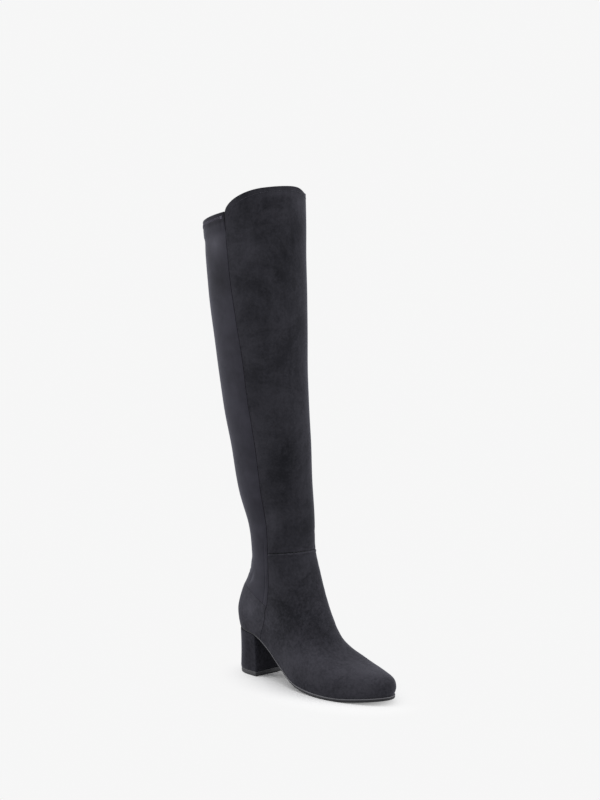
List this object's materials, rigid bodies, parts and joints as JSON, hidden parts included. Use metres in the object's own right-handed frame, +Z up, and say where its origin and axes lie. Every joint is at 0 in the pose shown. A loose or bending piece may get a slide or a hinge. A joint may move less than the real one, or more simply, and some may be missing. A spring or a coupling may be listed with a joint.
{
  "type": "thigh high boot",
  "caption": "Right over-the-knee boot: suede front and foot, stretch back panel, covered block heel, thin sole and an inner side zip with a hinged pull tab.",
  "frame": {"origin": "centre of the heel's tread, on the floor", "axes": "+X points to the toe, +Y to the inner (medial) side of the leg, +Z up along the leg"},
  "size_m": [0.2823, 0.1245, 0.6059],
  "materials": {
    "suede": "matt napped suede",
    "stretch": "fine brushed stretch fabric",
    "rubber": "satin",
    "board": "matt lining cover on a fibre board",
    "tape": "woven tape with moulded teeth",
    "zinc": "dark polished plating"
  },
  "bodies": {
    "boot": {"outsole": "rubber", "insole": "board", "heel": "suede", "heel_tip": "rubber", "upper": "suede", "shaft": "suede", "stretch_panel": "stretch", "zip": "tape", "zip_slider": "zinc"},
    "pull_tab": {"zip_pull": "zinc"}
  },
  "joints": [
    {"name": "pull_tab_hinge", "type": "hinge", "parent": "boot", "child": "pull_tab", "pos_m": [0.05219, 0.03715, 0.26737], "axis": [0.961, -0.2766, 0.0039], "range_deg": [0, 140]}
  ]
}
